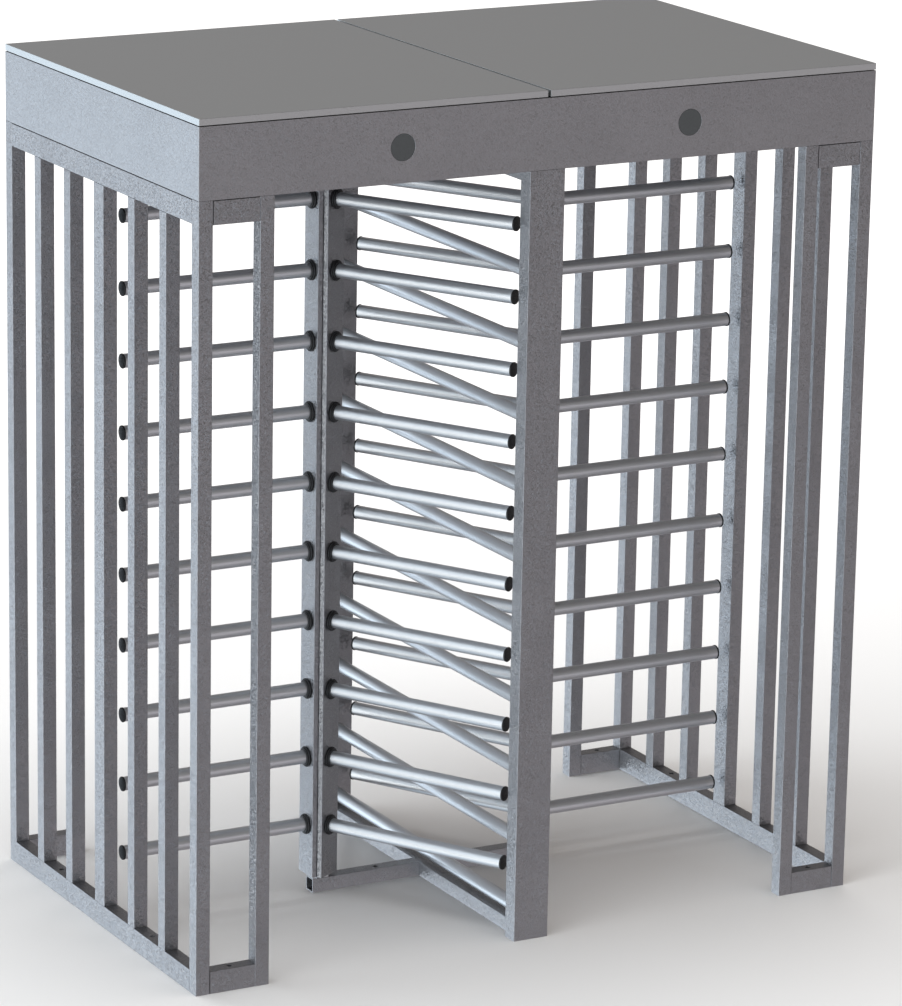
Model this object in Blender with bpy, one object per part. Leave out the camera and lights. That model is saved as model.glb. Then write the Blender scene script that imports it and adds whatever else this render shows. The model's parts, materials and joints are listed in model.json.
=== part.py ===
"""Double full-height visitor turnstile: two three-wing rotors side by side in one welded steel frame.

Metres, +Z up. The origin is on the floor at the centre of the footprint, visitors walk along Y,
and the front of the machine faces -Y. The right half mirrors the left one, apart from the heights
of the rotor arms, which interleave with each other and with the fixed comb between the lanes.
"""

import math

import bmesh
import bpy
from mathutils import Matrix, Vector

# Overall sizes
WIDTH = 2.000
DEPTH = 1.200
HEIGHT = 2.315
HEADER_HEIGHT = 0.209

# Square and rectangular tube of the frame
POST = 0.040
RAIL_HEIGHT = 0.062
MIDDLE_POST_DEPTH = 0.060
BARS_PER_HALF = 2
RETURN_WIDTH = 0.212
CENTRE_POST_WIDTH = 0.103
CENTRE_POST_DEPTH = 0.050
CENTRE_RAIL_WIDTH = 0.060
CENTRE_RAIL_HEIGHT = 0.040
CROSS_RAIL_END = 0.025
CROSS_RAIL_SIDE = 0.040
CROSS_RAIL_WALL = 0.003
CROSS_RAIL_POCKET = 0.080

# Anchor holes in the base rails
ANCHOR_RADIUS = 0.007
CROSS_ANCHOR_X = 0.157

# Rotors: three wings of round arms, their clearances, and the steps between the arms
ROTOR_RADIUS = 0.598
ROTOR_TO_FENCE = 0.024
WINGS = 3
ARM_RADIUS = 0.019
ARM_PITCH = 0.195
LEVEL_STEP = 0.065
TOP_ARM_BELOW_HEADER = 0.154
LOWEST_ARM = 0.060
CARRIER_WIDTH = 0.080
CARRIER_DEPTH = 0.0146
CARRIER_FOOT = 0.010
CARRIER_HEAD = 0.008
CORE_HEAD = 0.004
ROUND_SIDES = 12

# Shafts, bearings and pivots
SHAFT_RADIUS = 0.0225
SHAFT_TOP_BELOW_LID = 0.115
PIVOT_PIN_RADIUS = 0.010
PIVOT_PIN_LENGTH = 0.0045
PIVOT_PLATE = (0.048, 0.038, 0.006)
BEARING_BASE = 0.110
BEARING_BASE_HEIGHT = 0.010
BEARING_HUB_RADIUS = 0.038
BEARING_HEIGHT = 0.030
SHAFT_SIDES = 32

# Header sheet metal, lids and lamps
SHEET = 0.003
FLANGE = 0.020
SUPPORT_FLANGE = 0.030
LID_THICKNESS = 0.018
LID_SEAM = 0.002
LID_SHEET = 0.002
LID_GAP = 0.008
BRIDGE_WIDTH = 0.060
BRIDGE_HEIGHT = 0.012
LAMP_X = 0.425
LAMP_BELOW_TOP = 0.116
LAMP_RADIUS = 0.035
LAMP_COLLAR = 0.007
LAMP_COLLAR_DEPTH = 0.006
LAMP_BODY_DEPTH = 0.030
LAMP_SIDES = 32

# Head mechanism
FLOOR_THICKNESS = 0.006
FLOOR_BORE = 0.030
FLOOR_SEAM = 0.002
GEAR_MODULE = 0.004
GEAR_TEETH = 45
PINION_TEETH = 15
GEAR_HEIGHT = 0.016
GEAR_ABOVE_BEARING = 0.004
TOOTH_SHARE_ROOT = 0.62
TOOTH_SHARE_TIP = 0.26
DISC_ABOVE_GEAR = 0.008
DISC_RADIUS = 0.080
DISC_HEIGHT = 0.010
NOTCHES = 12
NOTCH_WIDTH = 0.019
NOTCH_DEPTH = 0.015
PINION_SHAFT_RADIUS = 0.008
PINION_SHAFT_LENGTH = 0.022
GEARBOX = (0.076, 0.090, 0.028)
MOTOR_RADIUS = 0.026
MOTOR_LENGTH = 0.100
PAWL_BESIDE_DISC = 0.020
PAWL_WIDTH = 0.014
PAWL_TAIL = 0.030
PAWL_NOSE_WIDTH = 0.010
PAWL_NOSE_GAP = 0.0025
PAWL_BOSS_RADIUS = 0.012
STUD_RADIUS = 0.006
STUD_TO_GEAR = 0.019
CONTROL_BOX = (0.220, 0.240, 0.084)
CONTROL_BOX_Y = 0.280

# Clearances
FIT = 0.0003
SEAM = 0.0015
RUNNING = 0.0006
OVERLAP = 0.005

# Derived places
HALF_W = WIDTH / 2
HALF_D = DEPTH / 2
HEADER_Z = HEIGHT - HEADER_HEIGHT
ROTOR_X = HALF_W - POST - ROTOR_TO_FENCE - ROTOR_RADIUS
TOP_ARM_HEIGHT = HEADER_Z - TOP_ARM_BELOW_HEADER
ARMS = 1 + int((TOP_ARM_HEIGHT - 2 * LEVEL_STEP - LOWEST_ARM) / ARM_PITCH)
HEADER_TOP = HEIGHT - LID_THICKNESS - LID_SEAM
POST_TOP = HEADER_Z - FIT
RAIL_TOP = HEADER_Z - SEAM
CORNER_Y = HALF_D - POST
CENTRE_Y = HALF_D - CENTRE_POST_DEPTH
CARRIER_INNER = CARRIER_WIDTH / 2 * math.tan(math.radians(30)) + FIT
CARRIER_OUTER = CARRIER_INNER + CARRIER_DEPTH
CORE_APOTHEM = CARRIER_INNER - 1.3 * FIT
PIVOT_TOP = CROSS_RAIL_SIDE + FIT + PIVOT_PLATE[2]
CORE_FOOT = PIVOT_TOP + FIT
FLOOR_Z = HEADER_Z + SHEET + 2 * FIT
FLOOR_TOP = FLOOR_Z + FLOOR_THICKNESS
BEARING_Z = FLOOR_TOP + FIT
BEARING_TOP = BEARING_Z + BEARING_HEIGHT
GEAR_Z = BEARING_TOP + GEAR_ABOVE_BEARING
DISC_Z = GEAR_Z + GEAR_HEIGHT + DISC_ABOVE_GEAR
SHAFT_TOP = HEIGHT - SHAFT_TOP_BELOW_LID
GEAR_CENTRES = GEAR_MODULE * (GEAR_TEETH + PINION_TEETH) / 2
GEAR_TIP = GEAR_MODULE * (GEAR_TEETH / 2 + 1)
PAWL_PIVOT_Y = DISC_RADIUS + PAWL_BESIDE_DISC
PAWL_ARM = math.sqrt((GEAR_TIP + STUD_TO_GEAR + STUD_RADIUS) ** 2 - PAWL_PIVOT_Y**2)
SIDES = {"left": -1, "right": 1}

FINISHES = {
    "satin_steel": ((0.42, 0.44, 0.46), 0.42, 1.0),
    "cover_steel": ((0.40, 0.41, 0.42), 0.48, 1.0),
    "arm_steel": ((0.55, 0.56, 0.58), 0.30, 1.0),
    "machined_steel": ((0.50, 0.51, 0.52), 0.25, 1.0),
    "cast_housing": ((0.20, 0.21, 0.22), 0.60, 0.6),
    "motor_paint": ((0.05, 0.06, 0.07), 0.45, 0.0),
    "lamp_lens": ((0.05, 0.055, 0.06), 0.18, 0.0),
    "control_casing": ((0.30, 0.31, 0.32), 0.55, 0.0),
}


def clear_scene():
    for obj in list(bpy.data.objects):
        bpy.data.objects.remove(obj, do_unlink=True)


def finish_of(node, finish):
    colour, roughness, metallic = FINISHES[finish]
    made = bpy.data.materials.new(node + "_" + finish)
    made.use_nodes = True
    shader = made.node_tree.nodes["Principled BSDF"]
    shader.inputs["Base Color"].default_value = (*colour, 1.0)
    shader.inputs["Roughness"].default_value = roughness
    shader.inputs["Metallic"].default_value = metallic
    made.diffuse_color = (*colour, 1.0)
    return made


def new_object(name, bm, at=(0, 0, 0)):
    """An object from a bmesh whose points are relative to the object's own origin."""
    bmesh.ops.recalc_face_normals(bm, faces=bm.faces)
    mesh = bpy.data.meshes.new(name)
    bm.to_mesh(mesh)
    bm.free()
    obj = bpy.data.objects.new(name, mesh)
    obj.location = at
    bpy.context.scene.collection.objects.link(obj)
    return obj


def part(name, bm, finish, at=(0, 0, 0), smooth=False):
    obj = new_object(name, bm, at)
    obj.data.materials.append(finish_of(name, finish))
    if smooth:
        obj.data.shade_smooth()
        obj.data.set_sharp_from_angle(angle=math.radians(35))
    return obj


def helper(name, bm, at=(0, 0, 0)):
    obj = new_object(name, bm, at)
    obj.hide_render = True
    obj.display_type = "WIRE"
    return obj


def combine(obj, tool, operation):
    modifier = obj.modifiers.new(operation.lower() + "_" + tool.name, "BOOLEAN")
    modifier.operation = operation
    modifier.object = tool
    modifier.solver = "EXACT"


def box(low, high, bm=None):
    """A box between two corners, given in any order."""
    bm = bm or bmesh.new()
    low, high = Vector(map(min, low, high)), Vector(map(max, low, high))
    place = Matrix.Translation((low + high) / 2) @ Matrix.Diagonal((*(high - low), 1))
    bmesh.ops.create_cube(bm, size=1.0, matrix=place)
    return bm


def cylinder(radius, low, high, sides, bm=None, axis="Z", centre=(0, 0, 0)):
    """A round bar between two stations along an axis."""
    bm = bm or bmesh.new()
    turn = {
        "X": Matrix.Rotation(math.radians(90), 4, "Y"),
        "Y": Matrix.Rotation(math.radians(-90), 4, "X"),
        "Z": Matrix.Identity(4),
    }[axis]
    along = turn @ Vector((0, 0, (low + high) / 2))
    bmesh.ops.create_cone(
        bm,
        cap_ends=True,
        segments=sides,
        radius1=radius,
        radius2=radius,
        depth=high - low,
        matrix=Matrix.Translation(Vector(centre) + along) @ turn,
    )
    return bm


def prism(outline, low, high):
    """A plan outline raised between two heights."""
    bm = bmesh.new()
    face = bm.faces.new([bm.verts.new((x, y, low)) for x, y in outline])
    grown = bmesh.ops.extrude_face_region(bm, geom=[face])
    top = [v for v in grown["geom"] if isinstance(v, bmesh.types.BMVert)]
    bmesh.ops.translate(bm, vec=(0, 0, high - low), verts=top)
    return bm


def turned(profile, sides, axis="Y"):
    """A closed solid turned round an axis from (radius, station) pairs, flat at both ends."""
    bm = bmesh.new()
    rings = []
    for radius, station in profile:
        ring = []
        for i in range(sides):
            angle = 2 * math.pi * i / sides
            a, b = radius * math.cos(angle), radius * math.sin(angle)
            ring.append(bm.verts.new((a, station, b) if axis == "Y" else (a, b, station)))
        rings.append(ring)
    for lower, upper in zip(rings, rings[1:]):
        for i in range(sides):
            j = (i + 1) % sides
            bm.faces.new((lower[i], lower[j], upper[j], upper[i]))
    bm.faces.new(rings[0])
    bm.faces.new(rings[-1])
    return bm


def polar(radius, angle):
    return radius * math.cos(angle), radius * math.sin(angle)


def bar_places():
    """Y of each slim bar: equal gaps between corner post, bars and middle post."""
    clear = CORNER_Y - MIDDLE_POST_DEPTH / 2 - BARS_PER_HALF * POST
    gap = clear / (BARS_PER_HALF + 1)
    half = [MIDDLE_POST_DEPTH / 2 + (i + 1) * gap + (i + 0.5) * POST for i in range(BARS_PER_HALF)]
    return [-y for y in reversed(half)] + half


def anchor_places():
    """Y of the two anchor holes in a side rail: midway between each pair of slim bars."""
    places = bar_places()
    return (places[0] + places[1]) / 2, (places[2] + places[3]) / 2


def drill(obj, places, depth):
    """Vertical anchor holes through a rail that stands on the floor."""
    bm = bmesh.new()
    for x, y in places:
        cylinder(ANCHOR_RADIUS, -depth, 2 * depth, ROUND_SIDES, bm, centre=(x, y, 0))
    combine(obj, helper(obj.name + "_anchor_holes", bm), "DIFFERENCE")


def fence(side):
    """One side fence: corner posts, returns at both ends, slim bars and a middle post between two rails."""
    s = SIDES[side]
    outer, inner = s * HALF_W, s * (HALF_W - POST)
    for end, e in (("front", -1), ("back", 1)):
        corner = box((outer, e * HALF_D, 0), (inner, e * CORNER_Y, POST_TOP))
        part(f"{side}_{end}_corner_post", corner, "satin_steel")
        return_frame(side, end, s, e)
    low, high = RAIL_HEIGHT + FIT, RAIL_TOP - RAIL_HEIGHT - FIT
    for number, y in enumerate(bar_places(), 1):
        bar = box((outer, y - POST / 2, low), (inner, y + POST / 2, high))
        part(f"{side}_bar_{number}", bar, "satin_steel")
    half = MIDDLE_POST_DEPTH / 2
    part(f"{side}_middle_post", box((outer, -half, low), (inner, half, high)), "satin_steel")
    reach = CORNER_Y - FIT
    bottom = part(
        f"{side}_bottom_rail", box((outer, -reach, 0), (inner, reach, RAIL_HEIGHT)), "satin_steel"
    )
    drill(bottom, [(s * (HALF_W - POST / 2), y) for y in anchor_places()], RAIL_HEIGHT)
    top = box((outer, -reach, RAIL_TOP - RAIL_HEIGHT), (inner, reach, RAIL_TOP))
    part(f"{side}_top_rail", top, "satin_steel")


def return_frame(side, end, s, e):
    """The inner post of a return, welded to its two short rails."""
    post_in, post_out = s * (HALF_W - RETURN_WIDTH), s * (HALF_W - RETURN_WIDTH + POST)
    near, far = e * HALF_D, e * CORNER_Y
    rail_end, rail_root = s * (HALF_W - POST - SEAM), post_out - s * OVERLAP
    frame = part(
        f"{side}_{end}_return", box((post_in, near, 0), (post_out, far, POST_TOP)), "satin_steel"
    )
    for label, low in (("bottom", 0), ("top", RAIL_TOP - RAIL_HEIGHT)):
        rail = box((rail_root, near, low), (rail_end, far, low + RAIL_HEIGHT))
        combine(frame, helper(f"{frame.name}_{label}_rail", rail), "UNION")
    middle = s * (HALF_W - POST + HALF_W - RETURN_WIDTH + POST) / 2
    drill(frame, [(middle, e * (HALF_D - POST / 2))], RAIL_HEIGHT)


def arm_height(side, number):
    """Arms of the left rotor, the right rotor and the comb share one pitch, a step apart."""
    step = {"left": 0, "right": 1, "comb": 2}[side]
    return TOP_ARM_HEIGHT - step * LEVEL_STEP - number * ARM_PITCH


def centre_frame():
    """Posts, base, top rail and the fixed comb between the two lanes."""
    half = CENTRE_POST_WIDTH / 2
    front = box((-half, -HALF_D, 0), (half, -CENTRE_Y, POST_TOP))
    part("front_centre_post", front, "satin_steel")

    comb = part("back_centre_comb", box((-half, CENTRE_Y, 0), (half, HALF_D, POST_TOP)), "satin_steel")
    tubes = bmesh.new()
    for number in range(ARMS):
        place = (0, 0, arm_height("comb", number))
        cylinder(ARM_RADIUS, FIT - CENTRE_Y, CENTRE_Y + OVERLAP, ROUND_SIDES, tubes, "Y", place)
    combine(comb, helper("comb_tubes", tubes), "UNION")

    rail = CENTRE_RAIL_WIDTH / 2
    reach = CENTRE_Y - FIT
    base = part("centre_base", box((-rail, -reach, 0), (rail, reach, CENTRE_RAIL_HEIGHT)), "satin_steel")
    end, side = ROTOR_X + CROSS_RAIL_END, CROSS_RAIL_SIDE / 2
    combine(base, helper("cross_rail", box((-end, -side, 0), (end, side, CROSS_RAIL_SIDE))), "UNION")
    pockets = bmesh.new()
    bore = side - CROSS_RAIL_WALL
    for s in (-1, 1):
        low = (s * (end - CROSS_RAIL_POCKET), -bore, CROSS_RAIL_WALL)
        box(low, (s * (end + OVERLAP), bore, CROSS_RAIL_SIDE - CROSS_RAIL_WALL), pockets)
    combine(base, helper("cross_rail_ends", pockets), "DIFFERENCE")
    drill(base, [(-CROSS_ANCHOR_X, 0), (CROSS_ANCHOR_X, 0)], CROSS_RAIL_SIDE)

    top = box((-rail, -reach, POST_TOP - CENTRE_RAIL_HEIGHT), (rail, reach, FLOOR_Z - FIT))
    part("centre_top_rail", top, "satin_steel")


def header():
    """Front and back fascias, side panels and the strip that carries the lids' inner edges."""
    lamp_z = HEIGHT - LAMP_BELOW_TOP
    span = HALF_W - SHEET - FIT
    for end, e in (("front", -1), ("back", 1)):
        skin = e * (HALF_D - SHEET)
        fascia = part(
            f"header_{end}", box((-HALF_W, e * HALF_D, HEADER_Z), (HALF_W, skin, HEADER_TOP)), "cover_steel"
        )
        for label, depth, z in (("foot", SUPPORT_FLANGE, HEADER_Z), ("lip", FLANGE, HEADER_TOP - SHEET)):
            flange = box((-span, skin + e * SHEET / 2, z), (span, skin - e * depth, z + SHEET))
            combine(fascia, helper(f"{fascia.name}_{label}", flange), "UNION")
        if end == "front":
            holes = bmesh.new()
            for s in (-1, 1):
                cylinder(
                    LAMP_RADIUS + FIT, -HALF_D - OVERLAP, -HALF_D + OVERLAP, LAMP_SIDES, holes, "Y",
                    (s * LAMP_X, 0, lamp_z),
                )
            combine(fascia, helper("lamp_holes", holes), "DIFFERENCE")
    for side, s in SIDES.items():
        header_side(side, s)
        lid(side, s)
        lamp(side, s, lamp_z)
    under = HEADER_TOP - SHEET - FIT
    reach = HALF_D - SHEET - FIT
    half = BRIDGE_WIDTH / 2
    part("lid_bridge", box((-half, -reach, under - BRIDGE_HEIGHT), (half, reach, under)), "cover_steel")


def header_side(side, s):
    low = HEADER_Z + FIT
    reach = HALF_D - SHEET - FIT
    short = HALF_D - SHEET - SUPPORT_FLANGE - FIT
    outer, skin = s * HALF_W, s * (HALF_W - SHEET)
    panel = part(f"{side}_header_panel", box((outer, -reach, low), (skin, reach, HEADER_TOP)), "cover_steel")
    for label, z in (("foot", low), ("lip", HEADER_TOP - SHEET)):
        flange = box((skin + s * SHEET / 2, -short, z), (skin - s * FLANGE, short, z + SHEET))
        combine(panel, helper(f"{panel.name}_{label}", flange), "UNION")


def lid(side, s):
    """A folded tray, open underneath, that lies on the header's lips."""
    low = HEIGHT - LID_THICKNESS
    inner, outer = s * LID_GAP / 2, s * HALF_W
    tray = part(f"{side}_lid", box((inner, -HALF_D, low), (outer, HALF_D, HEIGHT)), "cover_steel")
    wall = LID_SHEET
    pocket = box(
        (inner + s * wall, -HALF_D + wall, low - OVERLAP), (outer - s * wall, HALF_D - wall, HEIGHT - wall)
    )
    combine(tray, helper(f"{tray.name}_pocket", pocket), "DIFFERENCE")


def lamp(side, s, z):
    """A round lens flush with the fascia, with a collar and a body behind it."""
    collar_front = SHEET + FIT
    profile = [
        (LAMP_RADIUS, FIT),
        (LAMP_RADIUS, collar_front),
        (LAMP_RADIUS + LAMP_COLLAR, collar_front),
        (LAMP_RADIUS + LAMP_COLLAR, collar_front + LAMP_COLLAR_DEPTH),
        (LAMP_RADIUS - LAMP_COLLAR, collar_front + LAMP_COLLAR_DEPTH),
        (LAMP_RADIUS - LAMP_COLLAR, LAMP_BODY_DEPTH),
    ]
    part(f"{side}_lamp", turned(profile, LAMP_SIDES), "lamp_lens", (s * LAMP_X, -HALF_D, z), smooth=True)


def wing_angle(s, number):
    """The first wing points at the fence; the others follow a third of a turn apart."""
    return (0 if s > 0 else math.pi) + 2 * math.pi * number / WINGS


def rotor(side):
    """A three-sided core with a journal at each end, and three carriers of round arms round it."""
    s = SIDES[side]
    axis = (s * ROTOR_X, 0, 0)
    top = HEADER_Z - CARRIER_HEAD
    corners = [polar(2 * CORE_APOTHEM, wing_angle(s, n) + math.pi / WINGS) for n in range(WINGS)]
    core_top = top + CORE_HEAD
    core = part(f"{side}_rotor_core", prism(corners, CORE_FOOT, core_top), "satin_steel", axis, smooth=True)
    journal = cylinder(SHAFT_RADIUS, core_top - CORE_HEAD / 2, SHAFT_TOP, SHAFT_SIDES)
    combine(core, helper(f"{side}_journal", journal, axis), "UNION")
    pin = cylinder(PIVOT_PIN_RADIUS, CORE_FOOT - PIVOT_PIN_LENGTH, CORE_FOOT + OVERLAP, ROUND_SIDES)
    combine(core, helper(f"{side}_pivot_pin", pin, axis), "UNION")

    half = CARRIER_WIDTH / 2
    for number in range(WINGS):
        foot = CORE_FOOT + CARRIER_FOOT - PIVOT_PIN_LENGTH
        carrier = box((CARRIER_INNER, -half, foot), (CARRIER_OUTER, half, top))
        wing = part(f"{side}_wing_{number + 1}", carrier, "arm_steel", axis, smooth=True)
        arms = bmesh.new()
        for row in range(ARMS):
            place = (0, 0, arm_height(side, row))
            cylinder(ARM_RADIUS, CARRIER_OUTER - OVERLAP, ROTOR_RADIUS, ROUND_SIDES, arms, "X", place)
        tool = helper(f"{wing.name}_arms", arms, axis)
        combine(wing, tool, "UNION")
        for obj in (wing, tool):
            obj.rotation_euler.z = wing_angle(s, number)


def gear_outline(teeth):
    """A gear in plan with straight-flanked teeth, thin enough to run with backlash."""
    pitch_radius = GEAR_MODULE * teeth / 2
    root, tip = pitch_radius - 1.25 * GEAR_MODULE, pitch_radius + GEAR_MODULE
    pitch_angle = 2 * math.pi / teeth
    points = []
    for tooth in range(teeth):
        middle = tooth * pitch_angle
        points.append(polar(root, middle - TOOTH_SHARE_ROOT * pitch_angle / 2))
        points.append(polar(tip, middle - TOOTH_SHARE_TIP * pitch_angle / 2))
        points.append(polar(tip, middle + TOOTH_SHARE_TIP * pitch_angle / 2))
        points.append(polar(root, middle + TOOTH_SHARE_ROOT * pitch_angle / 2))
    return points


def mechanism(side):
    """The head of one lane: floor, bearing, gear, lock disc and pawl, and the motor with its pinion."""
    s = SIDES[side]
    axis = Vector((s * ROTOR_X, 0, 0))
    support(side, s, axis)

    bore = cylinder(SHAFT_RADIUS + FIT, GEAR_Z - OVERLAP, SHAFT_TOP, SHAFT_SIDES)
    bore = helper(f"{side}_gear_bore", bore, axis)
    gear = prism(gear_outline(GEAR_TEETH), GEAR_Z, GEAR_Z + GEAR_HEIGHT)
    gear = part(f"{side}_drive_gear", gear, "machined_steel", axis)
    disc = cylinder(DISC_RADIUS, DISC_Z, DISC_Z + DISC_HEIGHT, SHAFT_SIDES)
    disc = part(f"{side}_lock_disc", disc, "machined_steel", axis, smooth=True)
    combine(gear, bore, "DIFFERENCE")
    combine(disc, bore, "DIFFERENCE")
    notches = bmesh.new()
    half = NOTCH_WIDTH / 2
    for number in range(NOTCHES):
        notch = (DISC_RADIUS - NOTCH_DEPTH, -half, DISC_Z - OVERLAP)
        before = set(notches.verts)
        box(notch, (DISC_RADIUS + OVERLAP, half, DISC_Z + DISC_HEIGHT + OVERLAP), notches)
        turn = Matrix.Rotation(2 * math.pi * number / NOTCHES - math.pi / 2, 3, "Z")
        bmesh.ops.rotate(notches, matrix=turn, verts=[v for v in notches.verts if v not in before])
    combine(disc, helper(f"{side}_lock_notches", notches, axis), "DIFFERENCE")
    motor(side, axis)
    pawl(side, s, axis)


def support(side, s, axis):
    """The header's floor, the flanged bearing on it and the pivot plate on the cross rail."""
    reach = HALF_D - SHEET - FIT
    low = (s * (FLOOR_SEAM / 2 - ROTOR_X), -reach, FLOOR_Z)
    high = (s * (HALF_W - SHEET - FIT - ROTOR_X), reach, FLOOR_TOP)
    floor = part(f"{side}_header_floor", box(low, high), "cover_steel", axis)
    hole = cylinder(FLOOR_BORE, FLOOR_Z - OVERLAP, FLOOR_TOP + OVERLAP, SHAFT_SIDES)
    combine(floor, helper(f"{side}_floor_bore", hole, axis), "DIFFERENCE")
    stud = cylinder(STUD_RADIUS, FLOOR_TOP - OVERLAP, DISC_Z + DISC_HEIGHT, ROUND_SIDES)
    stud_at = axis + Vector((s * PAWL_ARM, -PAWL_PIVOT_Y, 0))
    combine(floor, helper(f"{side}_pawl_stud", stud, stud_at), "UNION")

    half = BEARING_BASE / 2
    bearing = box((-half, -half, BEARING_Z), (half, half, BEARING_Z + BEARING_BASE_HEIGHT))
    bearing = part(f"{side}_top_bearing", bearing, "cast_housing", axis, smooth=True)
    hub = cylinder(BEARING_HUB_RADIUS, BEARING_Z + BEARING_BASE_HEIGHT - OVERLAP, BEARING_TOP, SHAFT_SIDES)
    combine(bearing, helper(f"{side}_bearing_hub", hub, axis), "UNION")
    bore = cylinder(SHAFT_RADIUS + RUNNING, BEARING_Z - OVERLAP, BEARING_TOP + OVERLAP, SHAFT_SIDES)
    combine(bearing, helper(f"{side}_bearing_bore", bore, axis), "DIFFERENCE")

    x, y, z = PIVOT_PLATE
    low = CROSS_RAIL_SIDE + FIT
    pivot = part(
        f"{side}_bottom_pivot", box((-x / 2, -y / 2, low), (x / 2, y / 2, low + z)), "machined_steel", axis
    )
    bore = cylinder(PIVOT_PIN_RADIUS + RUNNING, low - OVERLAP, low + z + OVERLAP, ROUND_SIDES)
    combine(pivot, helper(f"{side}_pivot_bore", bore, axis), "DIFFERENCE")


def motor(side, axis):
    """A gearbox with its motor lying behind it, and the pinion that meshes with the drive gear."""
    shaft_at = axis + Vector((0, GEAR_CENTRES, 0))
    x, y, z = GEARBOX
    low = FLOOR_TOP + FIT
    casing = part(
        f"{side}_gear_motor", box((-x / 2, -x / 2, low), (x / 2, y - x / 2, low + z)), "motor_paint",
        shaft_at, smooth=True,
    )
    start = y - x / 2
    can = cylinder(
        MOTOR_RADIUS, start - OVERLAP, start + MOTOR_LENGTH, SHAFT_SIDES, axis="Y",
        centre=(0, 0, low + MOTOR_RADIUS),
    )
    combine(casing, helper(f"{side}_motor_can", can, shaft_at), "UNION")
    shaft_foot = GEAR_Z - PINION_SHAFT_LENGTH
    bore = cylinder(PINION_SHAFT_RADIUS + RUNNING, shaft_foot - FIT, low + z + OVERLAP, ROUND_SIDES)
    combine(casing, helper(f"{side}_motor_bore", bore, shaft_at), "DIFFERENCE")

    outline = gear_outline(PINION_TEETH)
    pinion = part(
        f"{side}_motor_pinion", prism(outline, GEAR_Z, GEAR_Z + GEAR_HEIGHT), "machined_steel", shaft_at
    )
    shaft = cylinder(PINION_SHAFT_RADIUS, shaft_foot, GEAR_Z + OVERLAP, ROUND_SIDES)
    tool = helper(f"{side}_pinion_shaft", shaft, shaft_at)
    combine(pinion, tool, "UNION")
    # The drive gear's tooth lies this far past +Y, so the pinion shows it a gap there.
    gear_step, pinion_step = 2 * math.pi / GEAR_TEETH, 2 * math.pi / PINION_TEETH
    phase = (math.pi / 2) % gear_step
    pinion.rotation_euler.z = -math.pi / 2 + pinion_step / 2 + phase * GEAR_TEETH / PINION_TEETH


def pawl(side, s, axis):
    """The lock pawl: a lever on the floor's stud, with a nose that swings into a notch of the disc."""
    pivot = axis + Vector((s * PAWL_ARM, -PAWL_PIVOT_Y, 0))
    low, high = DISC_Z, DISC_Z + DISC_HEIGHT
    half = PAWL_WIDTH / 2
    lever = box((-s * (PAWL_ARM + PAWL_NOSE_WIDTH / 2), -half, low), (s * PAWL_TAIL, half, high))
    lever = part(f"{side}_lock_pawl", lever, "machined_steel", pivot, smooth=True)
    nose_tip = PAWL_PIVOT_Y - DISC_RADIUS - PAWL_NOSE_GAP
    nose = -s * PAWL_ARM
    wide = PAWL_NOSE_WIDTH / 2
    tool = helper(f"{side}_pawl_nose", box((nose - wide, 0, low), (nose + wide, nose_tip, high)), pivot)
    combine(lever, tool, "UNION")
    boss = cylinder(PAWL_BOSS_RADIUS, low, high, SHAFT_SIDES)
    combine(lever, helper(f"{side}_pawl_boss", boss, pivot), "UNION")
    bore = cylinder(STUD_RADIUS + RUNNING, low - OVERLAP, high + OVERLAP, ROUND_SIDES)
    combine(lever, helper(f"{side}_pawl_bore", bore, pivot), "DIFFERENCE")


def control_box():
    x, y, z = CONTROL_BOX
    low = FLOOR_TOP + FIT
    casing = box((-x / 2, CONTROL_BOX_Y - y / 2, low), (x / 2, CONTROL_BOX_Y + y / 2, low + z))
    part("control_box", casing, "control_casing")


def main():
    clear_scene()
    centre_frame()
    header()
    control_box()
    for side in SIDES:
        fence(side)
        rotor(side)
        mechanism(side)


main()
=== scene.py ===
import json
import math

import bmesh
import bpy
from bpy.props import FloatProperty, FloatVectorProperty, IntProperty, PointerProperty
from mathutils import Matrix, Vector


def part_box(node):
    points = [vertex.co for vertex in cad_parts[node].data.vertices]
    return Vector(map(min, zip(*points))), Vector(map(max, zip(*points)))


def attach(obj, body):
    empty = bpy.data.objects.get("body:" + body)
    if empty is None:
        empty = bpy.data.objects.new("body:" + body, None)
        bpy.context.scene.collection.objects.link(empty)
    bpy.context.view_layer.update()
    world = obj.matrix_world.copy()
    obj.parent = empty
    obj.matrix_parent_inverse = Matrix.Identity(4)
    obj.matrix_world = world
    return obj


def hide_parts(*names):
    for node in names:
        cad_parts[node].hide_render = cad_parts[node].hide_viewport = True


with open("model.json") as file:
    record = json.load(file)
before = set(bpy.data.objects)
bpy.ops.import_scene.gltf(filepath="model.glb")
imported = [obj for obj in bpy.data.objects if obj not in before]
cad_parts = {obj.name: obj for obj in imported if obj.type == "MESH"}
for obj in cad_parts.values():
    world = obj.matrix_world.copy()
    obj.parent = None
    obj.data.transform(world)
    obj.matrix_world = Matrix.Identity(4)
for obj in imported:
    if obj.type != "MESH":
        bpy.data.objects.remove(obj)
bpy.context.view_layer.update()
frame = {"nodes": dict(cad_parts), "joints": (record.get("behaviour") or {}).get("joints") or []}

bl_info = {
    "name": "Double Full-Height Turnstile",
    "version": (1, 0, 0),
    "blender": (4, 5, 0),
    "location": "View3D > Sidebar > Turnstile",
    "description": "Finishes a double full-height turnstile around its fixed frame",
    "category": "Object",
}

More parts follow.
